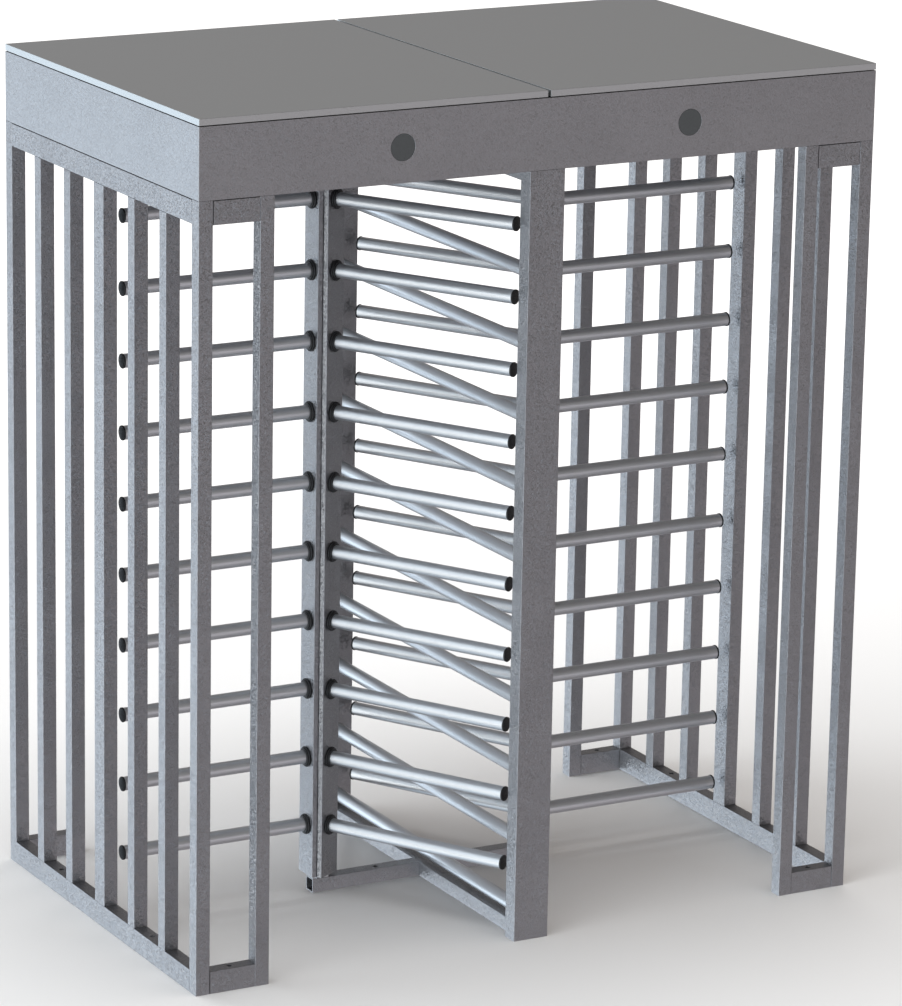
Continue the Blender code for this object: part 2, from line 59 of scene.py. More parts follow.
SIDES = {"left": -1, "right": 1}
ENDS = ("front", "back")
WINGS = (1, 2, 3)
FRAME_BODY = "frame"
SMOOTH_ANGLE = math.radians(35)
FLAT_ANGLE = math.radians(1)
FOLD_ANGLE = math.radians(40)
HOLE_SIDES = 32
BORE_CORNER = 0.0012
BORE_OVERRUN = 0.02
ARM_ROOT = 0.004
SCREW_DEPTH = 0.005
SCREW_CHAMFER = 0.0006
SCREW_LIFT = 0.0028


# ---------------------------------------------------------------- settings


class TubeSettings(bpy.types.PropertyGroup):
    corner: FloatProperty(
        name="Corner radius", description="Outside corner of the square tube", default=0.0014,
        min=0.0005, unit="LENGTH",
    )
    seam: FloatProperty(
        name="Seam", description="Open joint round each top rail of a return", default=0.0011,
        min=0.0, unit="LENGTH",
    )
    anchor: FloatProperty(
        name="Anchor hole", description="Radius of an anchor hole", default=0.007, unit="LENGTH"
    )
    cross_anchor: FloatProperty(
        name="Cross rail hole", description="Distance of a cross rail's hole from the middle",
        default=0.157, unit="LENGTH",
    )
    wall: FloatProperty(
        name="Tube wall", description="Wall seen at the open ends of the cross rail",
        default=0.003, unit="LENGTH",
    )


class ArmSettings(bpy.types.PropertyGroup):
    radius: FloatProperty(
        name="Arm radius", description="Radius of a round arm", default=0.019, unit="LENGTH"
    )
    sides: IntProperty(name="Sides", description="Facets round an arm", default=48, min=12)
    cap: FloatProperty(
        name="End cap", description="How far a cap stands past its tube", default=0.0068, unit="LENGTH"
    )
    cap_rim: FloatProperty(
        name="Cap rim", description="How much wider than the arm a cap is", default=0.0012, unit="LENGTH"
    )
    carrier: FloatVectorProperty(
        name="Carrier", description="Near face, far face and half width of a wing's carrier",
        default=(0.0234, 0.0380, 0.040), subtype="XYZ",
    )
    grommet: FloatProperty(
        name="Grommet radius", description="Outside radius of a rubber grommet", default=0.0285,
        unit="LENGTH",
    )
    grommet_depth: FloatProperty(
        name="Grommet depth", description="How far a grommet stands off its carrier", default=0.0095,
        unit="LENGTH",
    )


class HeaderSettings(bpy.types.PropertyGroup):
    edge: FloatProperty(
        name="Lid edge", description="Rounding of a lid's folded edge", default=0.0014, unit="LENGTH"
    )
    fold: FloatProperty(
        name="Sheet fold", description="Rounding of the other sheets' edges", default=0.0008,
        unit="LENGTH",
    )
    wall: FloatProperty(
        name="Lid wall", description="Thickness of a lid's sheet", default=0.002, unit="LENGTH"
    )
    screw: FloatProperty(
        name="Screw head", description="Radius of a screw head in the mechanism", default=0.0050,
        unit="LENGTH",
    )
    screw_circle: FloatProperty(
        name="Screw circle", description="Radius of the ring of screws on a bearing", default=0.062,
        unit="LENGTH",
    )
    flange: FloatProperty(
        name="Flange", description="Thickness of a bearing's flange", default=0.010, unit="LENGTH"
    )


class StageSettings(bpy.types.PropertyGroup):
    camera: FloatVectorProperty(
        name="Camera", description="Where the camera stands", default=(-6.168, -11.304, 4.545),
        subtype="TRANSLATION",
    )
    heading: FloatVectorProperty(
        name="Heading", description="Turn, tilt and roll of the camera, in degrees",
        default=(-27.63, -15.12, 0.70),
    )
    lens: FloatProperty(name="Lens", description="Focal length in millimetres", default=174.1)
    floor: FloatVectorProperty(
        name="Floor", description="Colour of the studio floor", default=(0.80, 0.80, 0.80),
        subtype="COLOR",
    )


# ---------------------------------------------------------------- mesh tools


def mesh_from(bm, name):
    bmesh.ops.remove_doubles(bm, verts=bm.verts, dist=1e-6)
    bmesh.ops.recalc_face_normals(bm, faces=bm.faces)
    mesh = bpy.data.meshes.new(name)
    bm.to_mesh(mesh)
    bm.free()
    return mesh


def coat(mesh, material):
    mesh.materials.clear()
    mesh.materials.append(material)


def piece(name, mesh, material, body, slot, *nodes):
    """A finished piece at the origin that rides on a body and stands for its nodes."""
    obj = bpy.data.objects.new(name, mesh)
    bpy.context.scene.collection.objects.link(obj)
    coat(mesh, material)
    mesh.shade_smooth()
    mesh.set_sharp_from_angle(angle=SMOOTH_ANGLE)
    flatten_normals(obj)
    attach(obj, body)
    if nodes:
        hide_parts(*nodes)


def flatten_normals(obj):
    """Large faces keep their own direction, so only the roundings between them are shaded smooth."""
    modifier = obj.modifiers.new("flatten", "WEIGHTED_NORMAL")
    modifier.weight = 100
    modifier.keep_sharp = True
    bpy.context.view_layer.update()
    graph = bpy.context.evaluated_depsgraph_get()
    flat = bpy.data.meshes.new_from_object(obj.evaluated_get(graph), depsgraph=graph)
    obj.modifiers.clear()
    obj.data = flat


def round_off(bm, edges, radius, segments):
    bmesh.ops.bevel(
        bm, geom=edges, offset=radius, segments=segments, profile=0.5, affect="EDGES", clamp_overlap=True
    )


def softened(node, width):
    """A copy of a node's solid with its sharp edges rounded."""
    bm = bmesh.new()
    bm.from_mesh(frame["nodes"][node].data)
    bmesh.ops.remove_doubles(bm, verts=bm.verts, dist=1e-5)
    bmesh.ops.dissolve_limit(bm, angle_limit=FLAT_ANGLE, verts=bm.verts, edges=bm.edges)
    sharp = [e for e in bm.edges if len(e.link_faces) == 2 and e.calc_face_angle() > FOLD_ANGLE]
    round_off(bm, sharp, width, 2)
    return mesh_from(bm, node)


def block_edges(bm, low, high):
    """The edges of a new block between two corners."""
    low, high = Vector(low), Vector(high)
    place = Matrix.Translation((low + high) / 2) @ Matrix.Diagonal((*(high - low), 1))
    made = bmesh.ops.create_cube(bm, size=1.0, matrix=place)["verts"]
    return list(dict.fromkeys(e for v in made for e in v.link_edges))


def rounded_bar(bm, low, high, axis, radius):
    """A bar between two corners whose four long edges are rounded."""
    index = "XYZ".index(axis)
    edges = [
        e for e in block_edges(bm, low, high)
        if abs((e.verts[0].co - e.verts[1].co)[index]) > 1e-6
    ]
    round_off(bm, edges, radius, 3)


def rounded_box(bm, low, high, radius):
    """A box between two corners with every edge rounded."""
    round_off(bm, block_edges(bm, low, high), radius, 2)


def turned(profile, sides):
    """A closed solid turned round X from (radius, station) pairs."""
    bm = bmesh.new()
    rings = [
        [
            bm.verts.new((station, radius * math.cos(a), radius * math.sin(a)))
            for a in (2 * math.pi * i / sides for i in range(sides))
        ]
        for radius, station in profile
    ]
    for lower, upper in zip(rings, rings[1:]):
        for i in range(sides):
            j = (i + 1) % sides
            bm.faces.new((lower[i], lower[j], upper[j], upper[i]))
    bm.faces.new(rings[0])
    bm.faces.new(rings[-1])
    return bm


def arc(centre_r, centre_x, radius, start, end, steps):
    """Points of a profile along an arc, with angles in degrees from the outward radius."""
    span = [math.radians(start + (end - start) * i / steps) for i in range(steps + 1)]
    return [(centre_r + radius * math.cos(a), centre_x + radius * math.sin(a)) for a in span]


def applied(obj):
    """The evaluated object as a plain mesh; the object is removed."""
    bpy.context.view_layer.update()
    graph = bpy.context.evaluated_depsgraph_get()
    mesh = bpy.data.meshes.new_from_object(obj.evaluated_get(graph), depsgraph=graph)
    obj.modifiers.clear()
    bpy.data.objects.remove(obj)
    return mesh


def worker(bm, name):
    """A passing object for a modifier to work on."""
    obj = bpy.data.objects.new(name, mesh_from(bm, name))
    bpy.context.scene.collection.objects.link(obj)
    return obj


def cut(bm, tool_bm, name):
    """The first solid with the second one taken out, as a mesh."""
    body, tool = worker(bm, name), worker(tool_bm, name + "_tool")
    modifier = body.modifiers.new("cut", "BOOLEAN")
    modifier.operation = "DIFFERENCE"
    modifier.object = tool
    modifier.solver = "EXACT"
    mesh = applied(body)
    bpy.data.objects.remove(tool)
    return mesh


# ---------------------------------------------------------------- geometry nodes


def add_input(tree, name, kind, default=None):
    socket = tree.interface.new_socket(name=name, in_out="INPUT", socket_type=kind)
    if default is not None:
        socket.default_value = default


def row_tree():
    """Repeats a shape along a straight row."""
    tree = bpy.data.node_groups.get("turnstile_row")
    if tree:
        return tree
    tree = bpy.data.node_groups.new("turnstile_row", "GeometryNodeTree")
    add_input(tree, "Shape", "NodeSocketGeometry")
    add_input(tree, "Count", "NodeSocketInt", 10)
    add_input(tree, "First", "NodeSocketVector")
    add_input(tree, "Step", "NodeSocketVector")
    add_input(tree, "Finish", "NodeSocketMaterial")
    tree.interface.new_socket(name="Row", in_out="OUTPUT", socket_type="NodeSocketGeometry")
    nodes, links = tree.nodes, tree.links
    given, out = nodes.new("NodeGroupInput"), nodes.new("NodeGroupOutput")
    line = nodes.new("GeometryNodeMeshLine")
    line.mode = "OFFSET"
    place = nodes.new("GeometryNodeInstanceOnPoints")
    real = nodes.new("GeometryNodeRealizeInstances")
    paint = nodes.new("GeometryNodeSetMaterial")
    links.new(given.outputs["Count"], line.inputs["Count"])
    links.new(given.outputs["First"], line.inputs["Start Location"])
    links.new(given.outputs["Step"], line.inputs["Offset"])
    links.new(line.outputs["Mesh"], place.inputs["Points"])
    links.new(given.outputs["Shape"], place.inputs["Instance"])
    links.new(place.outputs["Instances"], real.inputs["Geometry"])
    links.new(real.outputs["Geometry"], paint.inputs["Geometry"])
    links.new(given.outputs["Finish"], paint.inputs["Material"])
    links.new(paint.outputs["Geometry"], out.inputs["Row"])
    return tree


def ring_tree():
    """Repeats a shape round a circle in plan, with its own axis upright."""
    tree = bpy.data.node_groups.get("turnstile_ring")
    if tree:
        return tree
    tree = bpy.data.node_groups.new("turnstile_ring", "GeometryNodeTree")
    add_input(tree, "Shape", "NodeSocketGeometry")
    add_input(tree, "Count", "NodeSocketInt", 4)
    add_input(tree, "Radius", "NodeSocketFloat", 0.05)
    add_input(tree, "Turn", "NodeSocketFloat", 0.0)
    add_input(tree, "Finish", "NodeSocketMaterial")
    tree.interface.new_socket(name="Ring", in_out="OUTPUT", socket_type="NodeSocketGeometry")
    nodes, links = tree.nodes, tree.links
    given, out = nodes.new("NodeGroupInput"), nodes.new("NodeGroupOutput")
    circle = nodes.new("GeometryNodeMeshCircle")
    join = nodes.new("ShaderNodeCombineXYZ")
    turn = nodes.new("GeometryNodeTransform")
    place = nodes.new("GeometryNodeInstanceOnPoints")
    real = nodes.new("GeometryNodeRealizeInstances")
    paint = nodes.new("GeometryNodeSetMaterial")
    links.new(given.outputs["Count"], circle.inputs["Vertices"])
    links.new(given.outputs["Radius"], circle.inputs["Radius"])
    links.new(circle.outputs["Mesh"], turn.inputs["Geometry"])
    links.new(given.outputs["Turn"], join.inputs["Z"])
    links.new(join.outputs["Vector"], turn.inputs["Rotation"])
    links.new(turn.outputs["Geometry"], place.inputs["Points"])
    links.new(given.outputs["Shape"], place.inputs["Instance"])
    links.new(place.outputs["Instances"], real.inputs["Geometry"])
    links.new(real.outputs["Geometry"], paint.inputs["Geometry"])
    links.new(given.outputs["Finish"], paint.inputs["Material"])
    links.new(paint.outputs["Geometry"], out.inputs["Ring"])
    return tree


def repeated(shape, tree, place, **values):
    """A shape run through a repeating tree and moved into place, as a plain mesh."""
    obj = worker(shape, tree.name + "_shape")
    modifier = obj.modifiers.new("repeat", "NODES")
    modifier.node_group = tree
    sockets = {s.name: s.identifier for s in tree.interface.items_tree if s.in_out == "INPUT"}
    for name, value in values.items():
        modifier[sockets[name]] = value
    mesh = applied(obj)
    mesh.transform(place)
    return mesh


# ---------------------------------------------------------------- shader groups


def new_group(name, inputs, outputs):
    """A new shader group with its input and output nodes."""
    tree = bpy.data.node_groups.new(name, "ShaderNodeTree")
    for label, kind, default in inputs:
        add_input(tree, label, kind, default)
    for label, kind in outputs:
        tree.interface.new_socket(name=label, in_out="OUTPUT", socket_type=kind)
    return tree, tree.nodes.new("NodeGroupInput"), tree.nodes.new("NodeGroupOutput")


def operated(nodes, kind, operation):
    """A math node set to one operation."""
    node = nodes.new(kind)
    node.operation = operation
    return node


def grain_group():
    """Fine blasted grain: each grain has its own tilt and roughness, and the shade is slowly mottled."""
    tree = bpy.data.node_groups.get("turnstile_grain")
    if tree:
        return tree
    tree, given, out = new_group(
        "turnstile_grain",
        [
            ("Size", "NodeSocketFloat", 260.0),
            ("Depth", "NodeSocketFloat", 0.3),
            ("Stretch", "NodeSocketVector", (1.0, 1.0, 1.0)),
            ("Rough Low", "NodeSocketFloat", 0.35),
            ("Rough High", "NodeSocketFloat", 0.5),
        ],
        [("Shade", "NodeSocketFloat"), ("Roughness", "NodeSocketFloat"), ("Normal", "NodeSocketVector")],
    )
    nodes, links = tree.nodes, tree.links
    coords = nodes.new("ShaderNodeTexCoord")
    stretch = operated(nodes, "ShaderNodeVectorMath", "MULTIPLY")
    grains = nodes.new("ShaderNodeTexVoronoi")
    across = operated(nodes, "ShaderNodeVectorMath", "SUBTRACT")
    tilt = operated(nodes, "ShaderNodeVectorMath", "SUBTRACT")
    tilt.inputs[1].default_value = (0.5, 0.5, 0.5)
    rise = operated(nodes, "ShaderNodeVectorMath", "DOT_PRODUCT")
    chance = nodes.new("ShaderNodeSeparateXYZ")
    slow = nodes.new("ShaderNodeTexNoise")
    slow.inputs["Scale"].default_value = 5.0
    slow.inputs["Detail"].default_value = 4.0
    bump = nodes.new("ShaderNodeBump")
    bump.inputs["Distance"].default_value = 1.0
    rough = nodes.new("ShaderNodeMapRange")
    shade = nodes.new("ShaderNodeMix")
    shade.inputs["Factor"].default_value = 0.15
    links.new(coords.outputs["Object"], stretch.inputs[0])
    links.new(given.outputs["Stretch"], stretch.inputs[1])
    links.new(stretch.outputs["Vector"], grains.inputs["Vector"])
    links.new(given.outputs["Size"], grains.inputs["Scale"])
    links.new(stretch.outputs["Vector"], across.inputs[0])
    links.new(grains.outputs["Position"], across.inputs[1])
    links.new(grains.outputs["Color"], tilt.inputs[0])
    links.new(across.outputs["Vector"], rise.inputs[0])
    links.new(tilt.outputs["Vector"], rise.inputs[1])
    links.new(grains.outputs["Color"], chance.inputs[0])
    links.new(coords.outputs["Object"], slow.inputs["Vector"])
    links.new(rise.outputs["Value"], bump.inputs["Height"])
    links.new(given.outputs["Depth"], bump.inputs["Strength"])
    links.new(chance.outputs["X"], rough.inputs["Value"])
    links.new(given.outputs["Rough Low"], rough.inputs["To Min"])
    links.new(given.outputs["Rough High"], rough.inputs["To Max"])
    links.new(slow.outputs["Fac"], shade.inputs["A"])
    links.new(chance.outputs["Y"], shade.inputs["B"])
    links.new(shade.outputs["Result"], out.inputs["Shade"])
    links.new(rough.outputs["Result"], out.inputs["Roughness"])
    links.new(bump.outputs["Normal"], out.inputs["Normal"])
    return tree


def dust_group():
    """Light dust and wiping marks, thicker low down."""
    tree = bpy.data.node_groups.get("turnstile_dust")
    if tree:
        return tree
    tree, given, out = new_group(
        "turnstile_dust",
        [("Amount", "NodeSocketFloat", 0.15), ("Height", "NodeSocketFloat", 0.35)],
        [("Mask", "NodeSocketFloat")],
    )
    nodes, links = tree.nodes, tree.links
    coords = nodes.new("ShaderNodeTexCoord")
    split = nodes.new("ShaderNodeSeparateXYZ")
    fall = nodes.new("ShaderNodeMapRange")
    fall.inputs["To Min"].default_value = 1.0
    fall.inputs["To Max"].default_value = 0.25
    cloud = nodes.new("ShaderNodeTexNoise")
    cloud.inputs["Scale"].default_value = 9.0
    cloud.inputs["Detail"].default_value = 5.0
    part = operated(nodes, "ShaderNodeMath", "MULTIPLY")
    level = operated(nodes, "ShaderNodeMath", "MULTIPLY")
    links.new(coords.outputs["Object"], split.inputs[0])
    links.new(coords.outputs["Object"], cloud.inputs["Vector"])
    links.new(split.outputs["Z"], fall.inputs["Value"])
    links.new(given.outputs["Height"], fall.inputs["From Max"])
    links.new(fall.outputs["Result"], part.inputs[0])
    links.new(cloud.outputs["Fac"], part.inputs[1])
    links.new(part.outputs["Value"], level.inputs[0])
    links.new(given.outputs["Amount"], level.inputs[1])
    links.new(level.outputs["Value"], out.inputs["Mask"])
    return tree


def surface(name, dark, light, metallic, grain, dust=0.10):
    """A material from the grain and dust groups, between a dark and a light shade."""
    made = bpy.data.materials.get(name)
    if made:
        return made
    made = bpy.data.materials.new(name)
    made.use_nodes = True
    nodes, links = made.node_tree.nodes, made.node_tree.links
    shader = nodes["Principled BSDF"]
    shader.inputs["Metallic"].default_value = metallic
    texture = nodes.new("ShaderNodeGroup")
    texture.node_tree = grain_group()
    for socket, value in grain.items():
        texture.inputs[socket.replace("_", " ")].default_value = value
    dusty = nodes.new("ShaderNodeGroup")
    dusty.node_tree = dust_group()
    dusty.inputs["Amount"].default_value = dust
    tone = nodes.new("ShaderNodeMix")
    tone.data_type = "RGBA"
    tone.inputs["A"].default_value = (*dark, 1.0)
    tone.inputs["B"].default_value = (*light, 1.0)
    film = nodes.new("ShaderNodeMix")
    film.data_type = "RGBA"
    film.inputs["B"].default_value = (0.42, 0.41, 0.39, 1.0)
    links.new(texture.outputs["Shade"], tone.inputs["Factor"])
    links.new(tone.outputs["Result"], film.inputs["A"])
    links.new(dusty.outputs["Mask"], film.inputs["Factor"])
    links.new(film.outputs["Result"], shader.inputs["Base Color"])
    links.new(texture.outputs["Roughness"], shader.inputs["Roughness"])
    links.new(texture.outputs["Normal"], shader.inputs["Normal"])
    return made


def frame_steel():
    grain = {"Size": 310.0, "Depth": 0.55, "Rough_Low": 0.30, "Rough_High": 0.44}
    return surface("frame_steel", (0.280, 0.275, 0.284), (0.375, 0.370, 0.380), 1.0, grain, dust=0.04)


def sheet_steel():
    grain = {"Size": 310.0, "Depth": 0.32, "Rough_Low": 0.34, "Rough_High": 0.46}
    return surface("sheet_steel", (0.325, 0.321, 0.329), (0.385, 0.380, 0.389), 1.0, grain, dust=0.03)


# The lids' steel is a lighter, olive-tinted copy of the sheet steel. The difference is painted light: it
# stands in for the brighter light and reflection that their top faces catch.
def cover_steel():
    grain = {"Size": 310.0, "Depth": 0.45, "Rough_Low": 0.34, "Rough_High": 0.46}
    return surface("cover_steel", (0.385, 0.388, 0.376), (0.455, 0.458, 0.446), 1.0, grain, dust=0.03)


def arm_steel():
    grain = {"Size": 340.0, "Depth": 0.60, "Rough_Low": 0.26, "Rough_High": 0.40}
    return surface("arm_steel", (0.248, 0.246, 0.246), (0.370, 0.370, 0.372), 1.0, grain, dust=0.03)


def machined_steel():
    grain = {"Size": 900.0, "Depth": 0.12, "Rough_Low": 0.22, "Rough_High": 0.34, "Stretch": (1, 1, 0.2)}
    return surface("machined_steel", (0.45, 0.45, 0.46), (0.62, 0.62, 0.63), 1.0, grain)


def cast_iron():
    grain = {"Size": 420.0, "Depth": 0.8, "Rough_Low": 0.5, "Rough_High": 0.75}
    return surface("cast_iron", (0.10, 0.105, 0.11), (0.20, 0.205, 0.21), 0.7, grain)


def motor_paint():
    grain = {"Size": 500.0, "Depth": 0.25, "Rough_Low": 0.35, "Rough_High": 0.5}
    return surface("motor_paint", (0.025, 0.028, 0.032), (0.05, 0.053, 0.06), 0.0, grain)


def black_rubber():
    grain = {"Size": 700.0, "Depth": 0.35, "Rough_Low": 0.45, "Rough_High": 0.62}
    return surface("black_rubber", (0.008, 0.008, 0.009), (0.022, 0.022, 0.024), 0.0, grain, dust=0.03)


def lamp_lens():
    grain = {"Size": 700.0, "Depth": 0.10, "Rough_Low": 0.32, "Rough_High": 0.42}
    return surface("lamp_lens", (0.045, 0.045, 0.05), (0.07, 0.07, 0.075), 0.0, grain, dust=0.02)


def grey_casing():
    grain = {"Size": 800.0, "Depth": 0.3, "Rough_Low": 0.5, "Rough_High": 0.65}
    return surface("grey_casing", (0.28, 0.29, 0.30), (0.36, 0.37, 0.38), 0.0, grain)


# ---------------------------------------------------------------- fences and centre frame


def holed(bm, places, top, radius, name):
    """Anchor holes drilled down through a base rail, as a mesh."""
    drill = bmesh.new()
    for x, y in places:
        bmesh.ops.create_cone(
            drill, cap_ends=True, segments=HOLE_SIDES, radius1=radius, radius2=radius, depth=4 * top,
            matrix=Matrix.Translation((x, y, 0)),
        )
    return cut(bm, drill, name)


def bar_from(node, axis, corner, material):
    """The rounded tube of one straight member."""
    bm = bmesh.new()
    rounded_bar(bm, *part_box(node), axis, corner)
    piece(f"{node}_tube", mesh_from(bm, node), material, FRAME_BODY, "satin_steel", node)


def return_mesh(node, s, tube):
    """The inner post of a return with its bottom rail and its set-in top rail."""
    low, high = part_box(node)
    post = high.y - low.y
    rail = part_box("left_bottom_rail")[1].z
    inner, outer = (high.x - post, high.x) if s < 0 else (low.x, low.x + post)
    x_low, x_high = (low.x, inner) if s < 0 else (outer, high.x)
    base = bmesh.new()
    rounded_bar(base, (x_low, low.y, low.z), (x_high, high.y, rail), "X", tube.corner)
    middle = ((x_low + x_high) / 2, (low.y + high.y) / 2)
    bm = bmesh.new()
    bm.from_mesh(holed(base, [middle], rail, tube.anchor, node + "_base"))
    rounded_bar(bm, (inner, low.y, low.z), (outer, high.y, high.z), "Z", tube.corner)
    gap = tube.seam
    joint_low, joint_high = (x_low, x_high - gap) if s < 0 else (x_low + gap, x_high)
    under, top = high.z - rail - gap, high.z - gap
    rounded_bar(bm, (joint_low, low.y, under), (joint_high, high.y, top), "X", tube.corner)
    return mesh_from(bm, node)


class TURNSTILE_OT_fences(bpy.types.Operator):
    """Rounded tubes of the two side fences and their returns"""

    bl_idname = "turnstile.fences"
    bl_label = "Side Fences"

    def execute(self, context):
        tube = context.scene.turnstile_tube
        steel = frame_steel()
        for side, s in SIDES.items():
            for end in ENDS:
                bar_from(f"{side}_{end}_corner_post", "Z", tube.corner, steel)
                node = f"{side}_{end}_return"
                mesh = return_mesh(node, s, tube)
                piece(f"{node}_frame", mesh, steel, FRAME_BODY, "satin_steel", node)
            for number in range(1, 5):
                bar_from(f"{side}_bar_{number}", "Z", tube.corner, steel)
            bar_from(f"{side}_middle_post", "Z", tube.corner, steel)
            bar_from(f"{side}_top_rail", "Y", tube.corner, steel)
            self.base_rail(side, tube, steel)
        return {"FINISHED"}

    def base_rail(self, side, tube, steel):
        node = f"{side}_bottom_rail"
        low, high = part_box(node)
        bm = bmesh.new()
        rounded_bar(bm, low, high, "Y", tube.corner)
        pairs = (("1", "2"), ("3", "4"))
        places = [
            ((low.x + high.x) / 2, sum(sum(c.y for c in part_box(f"{side}_bar_{n}")) for n in pair) / 4)
            for pair in pairs
        ]
        mesh = holed(bm, places, high.z, tube.anchor, node)
        piece(f"{node}_tube", mesh, steel, FRAME_BODY, "satin_steel", node)


class TURNSTILE_OT_centre(bpy.types.Operator):
    """Centre posts, comb, base cross and top rail"""

    bl_idname = "turnstile.centre"
    bl_label = "Centre Frame"

    def execute(self, context):
        tube, arm = context.scene.turnstile_tube, context.scene.turnstile_arm
        steel = frame_steel()
        bar_from("front_centre_post", "Z", tube.corner, steel)
        bar_from("centre_top_rail", "Y", tube.corner, steel)
        self.comb(tube, arm, steel)
        self.base(tube, steel)
        return {"FINISHED"}

    def comb(self, tube, arm, steel):
        node = "back_centre_comb"
        low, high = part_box(node)
        front_low, front_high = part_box("front_centre_post")
        reach = high.y - (front_high.y - front_low.y)
        bm = bmesh.new()
        rounded_bar(bm, (low.x, reach, low.z), high, "Z", tube.corner)
        piece("back_centre_post_tube", mesh_from(bm, node), steel, FRAME_BODY, "satin_steel", node)
        heights = arm_heights("comb")
        shape = turned([(arm.radius, low.y), (arm.radius, reach + tube.wall)], arm.sides)
        row = repeated(
            shape, row_tree(), Matrix.Rotation(math.radians(90), 4, "Z"), Count=len(heights),
            First=(0.0, 0.0, heights[0]), Step=(0.0, 0.0, heights[1] - heights[0]), Finish=arm_steel(),
        )
        piece("comb_tubes", row, arm_steel(), FRAME_BODY, "arm_steel", node)

    def base(self, tube, steel):
        node = "centre_base"
        low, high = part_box(node)
        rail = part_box("centre_top_rail")
        half = rail[1].x
        side = high.z / 2
        corner = tube.corner
        long_rail = bmesh.new()
        rounded_bar(long_rail, (-half, low.y, 0), (half, high.y, high.z), "Y", corner)
        piece("centre_base_tube", mesh_from(long_rail, node), steel, FRAME_BODY, "satin_steel", node)
        for name, s in SIDES.items():
            cross = bmesh.new()
            ends = sorted((s * half, s * high.x))
            rounded_bar(cross, (ends[0], -side, 0), (ends[1], side, high.z), "X", corner)
            bore = bmesh.new()
            wall = tube.wall
            inner = sorted((s * (half + BORE_OVERRUN), s * (high.x + BORE_OVERRUN)))
            bore_low, bore_high = (inner[0], wall - side, wall), (inner[1], side - wall, high.z - wall)
            rounded_bar(bore, bore_low, bore_high, "X", BORE_CORNER)
            hollow = cut(cross, bore, "cross_rail")
            shell = bmesh.new()
            shell.from_mesh(hollow)
            mesh = holed(shell, [(s * tube.cross_anchor, 0)], high.z, tube.anchor, "cross_rail")
            piece(f"{name}_cross_rail_tube", mesh, steel, FRAME_BODY, "satin_steel", node)


def arm_heights(kind):
    """Centre heights of the arms, top down, read from the solids of the frame."""
    node = {"comb": "back_centre_comb", "left": "left_wing_1", "right": "right_wing_1"}[kind]
    mesh = frame["nodes"][node].data
    low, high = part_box(node)
    if kind == "comb":
        tips = [v.co.z for v in mesh.vertices if v.co.y < low.y + 0.001]
    else:
        edge = low.x if kind == "left" else high.x
        tips = [v.co.z for v in mesh.vertices if abs(v.co.x - edge) < 0.001]
    groups = []
    for z in sorted(set(round(z, 4) for z in tips), reverse=True):
        if groups and groups[-1][-1] - z < 0.03:
            groups[-1].append(z)
        else:
            groups.append([z])
    return [(g[0] + g[-1]) / 2 for g in groups]


# ---------------------------------------------------------------- rotors


def rotor_axis(side):
    joint = next(j for j in frame["joints"] if j["child"] == f"{side}_rotor")
    return Vector((joint["pos_m"][0], joint["pos_m"][1], 0))


def cap_profile(tip, arm):
    """A push-in cap: a rolled rim wider than the tube and a low dome."""
    rim = arm.radius + arm.cap_rim
    soft = 0.0016
    root = tip - arm.cap
    lower = arc(rim - soft, root + soft, soft, -90, 0, 3)
    upper = arc(rim - soft, tip - 2 * soft, soft, 0, 80, 4)
    dome = [(rim * 0.80, tip - 0.0011), (rim * 0.50, tip - 0.0004), (rim * 0.15, tip)]
    return [(arm.radius * 0.8, root), *lower, *upper, *dome]


def grommet_profile(root, arm):
    """A double-lipped grommet: a wide flange, a groove and a narrower collar round the arm."""
    depth = arm.grommet_depth
    flange, lip = depth * 0.32, depth * 0.26
    collar = arm.grommet - 0.0035
    wide = arc(arm.grommet - flange, root + flange, flange, -90, 70, 6)
    narrow = arc(collar - lip, root + depth - lip, lip, -40, 90, 6)
    inner = arm.radius * 0.96
    return [(inner, root), *wide, *narrow, (inner, root + depth)]


class TURNSTILE_OT_rotors(bpy.types.Operator):
    """Carriers, round arms, end caps and grommets of both rotors"""

    bl_idname = "turnstile.rotors"
    bl_label = "Rotors"

    def execute(self, context):
        arm, tube = context.scene.turnstile_arm, context.scene.turnstile_tube
        for side, s in SIDES.items():
            axis = rotor_axis(side)
            start = 0.0 if s > 0 else math.pi
            heights = arm_heights(side)
            low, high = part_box(f"{side}_wing_1")
            tip = (high.x - axis.x) if s > 0 else (axis.x - low.x)
            for wing in WINGS:
                angle = start + 2 * math.pi * (wing - 1) / len(WINGS)
                place = Matrix.Translation(axis) @ Matrix.Rotation(angle, 4, "Z")
                self.wing(side, wing, place, heights, tip, arm, tube)
            coat(frame["nodes"][f"{side}_rotor_core"].data, frame_steel())
        return {"FINISHED"}

    def wing(self, side, wing, place, heights, tip, arm, tube):
        node, body = f"{side}_wing_{wing}", f"{side}_rotor"
        inner, outer, half = arm.carrier
        low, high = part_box(node)
        bm = bmesh.new()
        rounded_bar(bm, (inner, -half, low.z), (outer, half, high.z), "Z", tube.corner)
        carrier = mesh_from(bm, node)
        carrier.transform(place)
        piece(f"{node}_carrier", carrier, frame_steel(), body, "satin_steel", node)
        step = (heights[-1] - heights[0]) / (len(heights) - 1)
        rows = (
            ("arms", turned([(arm.radius, outer - ARM_ROOT), (arm.radius, tip - arm.cap)], arm.sides),
             arm_steel(), "arm_steel"),
            ("caps", turned(cap_profile(tip, arm), arm.sides), black_rubber(), "black_rubber"),
            ("grommets", turned(grommet_profile(outer, arm), arm.sides), black_rubber(), "black_rubber"),
        )
        for name, shape, material, slot in rows:
            mesh = repeated(
                shape, row_tree(), place, Count=len(heights), First=(0.0, 0.0, heights[0]),
                Step=(0.0, 0.0, step), Finish=material,
            )
            piece(f"{node}_{name}", mesh, material, body, slot, node)


# ---------------------------------------------------------------- header


